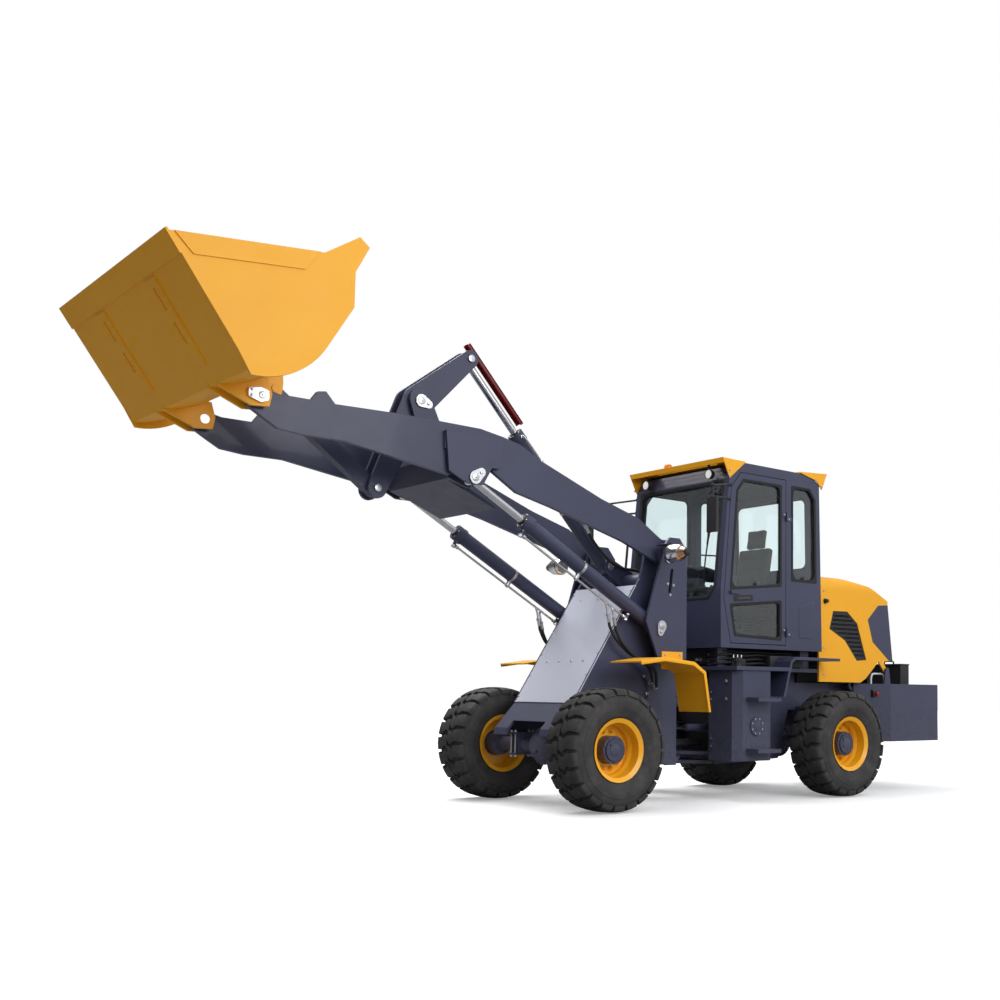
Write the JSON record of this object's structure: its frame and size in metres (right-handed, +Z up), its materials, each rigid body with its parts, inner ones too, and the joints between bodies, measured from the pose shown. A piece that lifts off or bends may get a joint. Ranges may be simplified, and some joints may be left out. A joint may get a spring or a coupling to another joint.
{
  "type": "articulated wheel loader",
  "caption": "Compact articulated wheel loader with raised bucket on Z-bar lift arms, enclosed cab, engine hood and counterweight.",
  "frame": {"origin": "centre of the bounding box in plan, on the ground under the tyres", "axes": "+X forward towards the bucket, +Y to the machine's left, +Z up"},
  "size_m": [8.2186, 2.14, 3.9759],
  "materials": {
    "yellow_paint": "gloss",
    "slate_paint": "satin",
    "cover_paint": "gloss",
    "tyre_rubber": "matte",
    "chrome": "polished",
    "machine_grey": "satin",
    "axle_paint": "satin",
    "glass": "clear",
    "black_plastic": "matte",
    "seat_cover": "matte",
    "pin_steel": "satin",
    "lamp": "clear"
  },
  "bodies": {
    "rear": {"rear_frame": "slate_paint", "hinge_pins": "pin_steel", "counterweight": "slate_paint", "battery_box": "black_plastic", "engine": "machine_grey", "radiator": "machine_grey", "gearbox": "machine_grey", "rear_prop_shaft": "machine_grey", "rear_axle": "axle_paint", "fuel_tank": "slate_paint", "hydraulic_tank": "slate_paint", "deck": "slate_paint", "cab_frame": "slate_paint", "cab_roof": "slate_paint", "cab_glass": "glass", "roof_visors": "yellow_paint", "cab_lamps": "lamp", "mirrors": "black_plastic", "mirror_bars": "black_plastic", "grab_rail": "black_plastic", "seat": "seat_cover", "steering_column": "black_plastic"},
    "front": {"front_frame": "slate_paint", "loader_towers": "slate_paint", "front_cover": "cover_paint", "front_pins": "pin_steel", "front_fenders": "yellow_paint", "head_lamps": "lamp", "front_axle": "axle_paint", "front_prop_shaft": "machine_grey"},
    "arms": {"lift_arms": "slate_paint", "arm_pins": "pin_steel"},
    "bucket": {"bucket": "yellow_paint"},
    "rocker": {"rocker": "slate_paint"},
    "bucket_link": {"bucket_link": "slate_paint"},
    "tilt_barrel": {"tilt_barrel": "slate_paint"},
    "tilt_rod": {"tilt_rod": "chrome"},
    "hood": {"hood": "yellow_paint", "hood_rear_panel": "slate_paint", "hood_grilles": "black_plastic"},
    "lift_left_barrel": {"lift_left_barrel": "slate_paint"},
    "lift_left_rod": {"lift_left_rod": "chrome"},
    "steer_barrel_left": {"steer_barrel_left": "slate_paint"},
    "steer_rod_left": {"steer_rod_left": "chrome"},
    "door_left": {"door_left": "slate_paint", "door_glass_left": "glass"},
    "lift_right_barrel": {"lift_right_barrel": "slate_paint"},
    "lift_right_rod": {"lift_right_rod": "chrome"},
    "steer_barrel_right": {"steer_barrel_right": "slate_paint"},
    "steer_rod_right": {"steer_rod_right": "chrome"},
    "door_right": {"door_right": "slate_paint", "door_glass_right": "glass"},
    "wheel_front_left": {"tyre_front_left": "tyre_rubber", "wheel_front_left": "yellow_paint"},
    "wheel_front_right": {"tyre_front_right": "tyre_rubber", "wheel_front_right": "yellow_paint"},
    "wheel_rear_left": {"tyre_rear_left": "tyre_rubber", "wheel_rear_left": "yellow_paint"},
    "wheel_rear_right": {"tyre_rear_right": "tyre_rubber", "wheel_rear_right": "yellow_paint"}
  },
  "joints": [
    {"name": "steer", "type": "hinge", "parent": "rear", "child": "front", "pos_m": [-1.01, 0, 0.4925], "axis": [0, 0, 1], "range_deg": [-30, 30]},
    {"name": "lift", "type": "hinge", "parent": "front", "child": "arms", "pos_m": [-0.457, 0, 2.145], "axis": [0, -1, 0], "range_deg": [-41.5, 28]},
    {"name": "dump", "type": "hinge", "parent": "arms", "child": "bucket", "pos_m": [3.25, 0, 2.915], "axis": [0, 1, 0], "range_deg": [-25, 105]},
    {"name": "rocker_swing", "type": "hinge", "parent": "arms", "child": "rocker", "pos_m": [1.75, 0, 3.2], "axis": [0, -1, 0], "range_deg": [-8.5, 32.5]},
    {"name": "link_swing", "type": "hinge", "parent": "bucket", "child": "bucket_link", "pos_m": [2.935, 0, 3.105], "axis": [0, -1, 0], "range_deg": [-23.5, 95.5]},
    {"name": "tilt_barrel_swing", "type": "hinge", "parent": "front", "child": "tilt_barrel", "pos_m": [-0.21, 0, 2.05], "axis": [0, -1, 0], "range_deg": [-45.41, 30.96]},
    {"name": "tilt_rod_slide", "type": "slide", "parent": "tilt_barrel", "child": "tilt_rod", "axis": [0.6836, 0, 0.7298], "range_m": [-0.3319, 0.0805]},
    {"name": "lift_left_barrel_swing", "type": "hinge", "parent": "front", "child": "lift_left_barrel", "pos_m": [-0.37, 0.4875, 1.515], "axis": [0, -1, 0], "range_deg": [-39.39, 26.9]},
    {"name": "lift_left_rod_slide", "type": "slide", "parent": "lift_left_barrel", "child": "lift_left_rod", "axis": [0.8732, 0, 0.4874], "range_m": [-0.4221, 0.2854]},
    {"name": "steer_left_barrel_swing", "type": "hinge", "parent": "rear", "child": "steer_barrel_left", "pos_m": [-1.3, 0.225, 0.64], "axis": [0, 0, 1], "range_deg": [-15.7, 15.7]},
    {"name": "steer_left_rod_slide", "type": "slide", "parent": "steer_barrel_left", "child": "steer_rod_left", "axis": [0.9979, 0.0647, 0], "range_m": [-0.1277, 0.1277]},
    {"name": "door_left_hinge", "type": "hinge", "parent": "rear", "child": "door_left", "pos_m": [-1.89, 0.643, 2], "axis": [0, 0, 1], "range_deg": [0, 90]},
    {"name": "lift_right_barrel_swing", "type": "hinge", "parent": "front", "child": "lift_right_barrel", "pos_m": [-0.37, -0.4875, 1.515], "axis": [0, -1, 0], "range_deg": [-39.39, 26.9]},
    {"name": "lift_right_rod_slide", "type": "slide", "parent": "lift_right_barrel", "child": "lift_right_rod", "axis": [0.8732, 0, 0.4874], "range_m": [-0.4221, 0.2854]},
    {"name": "steer_right_barrel_swing", "type": "hinge", "parent": "rear", "child": "steer_barrel_right", "pos_m": [-1.3, -0.225, 0.64], "axis": [0, 0, 1], "range_deg": [-15.7, 15.7]},
    {"name": "steer_right_rod_slide", "type": "slide", "parent": "steer_barrel_right", "child": "steer_rod_right", "axis": [0.9979, -0.0647, 0], "range_m": [-0.1277, 0.1277]},
    {"name": "door_right_hinge", "type": "hinge", "parent": "rear", "child": "door_right", "pos_m": [-1.89, -0.643, 2], "axis": [0, 0, -1], "range_deg": [0, 90]},
    {"name": "hood_hinge", "type": "hinge", "parent": "rear", "child": "hood", "pos_m": [-3.46, 0, 1.2], "axis": [0, -1, 0], "range_deg": [0, 45]},
    {"name": "wheel_front_left_spin", "type": "hinge", "parent": "front", "child": "wheel_front_left", "pos_m": [0.39, 0.79, 0.4925], "axis": [0, 1, 0], "continuous": true},
    {"name": "wheel_front_right_spin", "type": "hinge", "parent": "front", "child": "wheel_front_right", "pos_m": [0.39, -0.79, 0.4925], "axis": [0, 1, 0], "continuous": true},
    {"name": "wheel_rear_left_spin", "type": "hinge", "parent": "rear", "child": "wheel_rear_left", "pos_m": [-2.43, 0.79, 0.4925], "axis": [0, 1, 0], "continuous": true},
    {"name": "wheel_rear_right_spin", "type": "hinge", "parent": "rear", "child": "wheel_rear_right", "pos_m": [-2.43, -0.79, 0.4925], "axis": [0, 1, 0], "continuous": true}
  ],
  "couplings": [
    {"joint": "rocker_swing", "follows": "dump", "ratio": 0.3},
    {"joint": "link_swing", "follows": "dump", "ratio": 0.9},
    {"joint": "tilt_barrel_swing", "follows": "lift", "ratio": 1.07},
    {"joint": "tilt_rod_slide", "follows": "dump", "m_per_rad": -0.18},
    {"joint": "lift_left_barrel_swing", "follows": "lift", "ratio": 0.925},
    {"joint": "lift_left_rod_slide", "follows": "lift", "m_per_rad": 0.58},
    {"joint": "steer_left_barrel_swing", "follows": "steer", "ratio": 0.49},
    {"joint": "steer_left_rod_slide", "follows": "steer", "m_per_rad": -0.24},
    {"joint": "lift_right_barrel_swing", "follows": "lift", "ratio": 0.925},
    {"joint": "lift_right_rod_slide", "follows": "lift", "m_per_rad": 0.58},
    {"joint": "steer_right_barrel_swing", "follows": "steer", "ratio": 0.49},
    {"joint": "steer_right_rod_slide", "follows": "steer", "m_per_rad": 0.24}
  ]
}
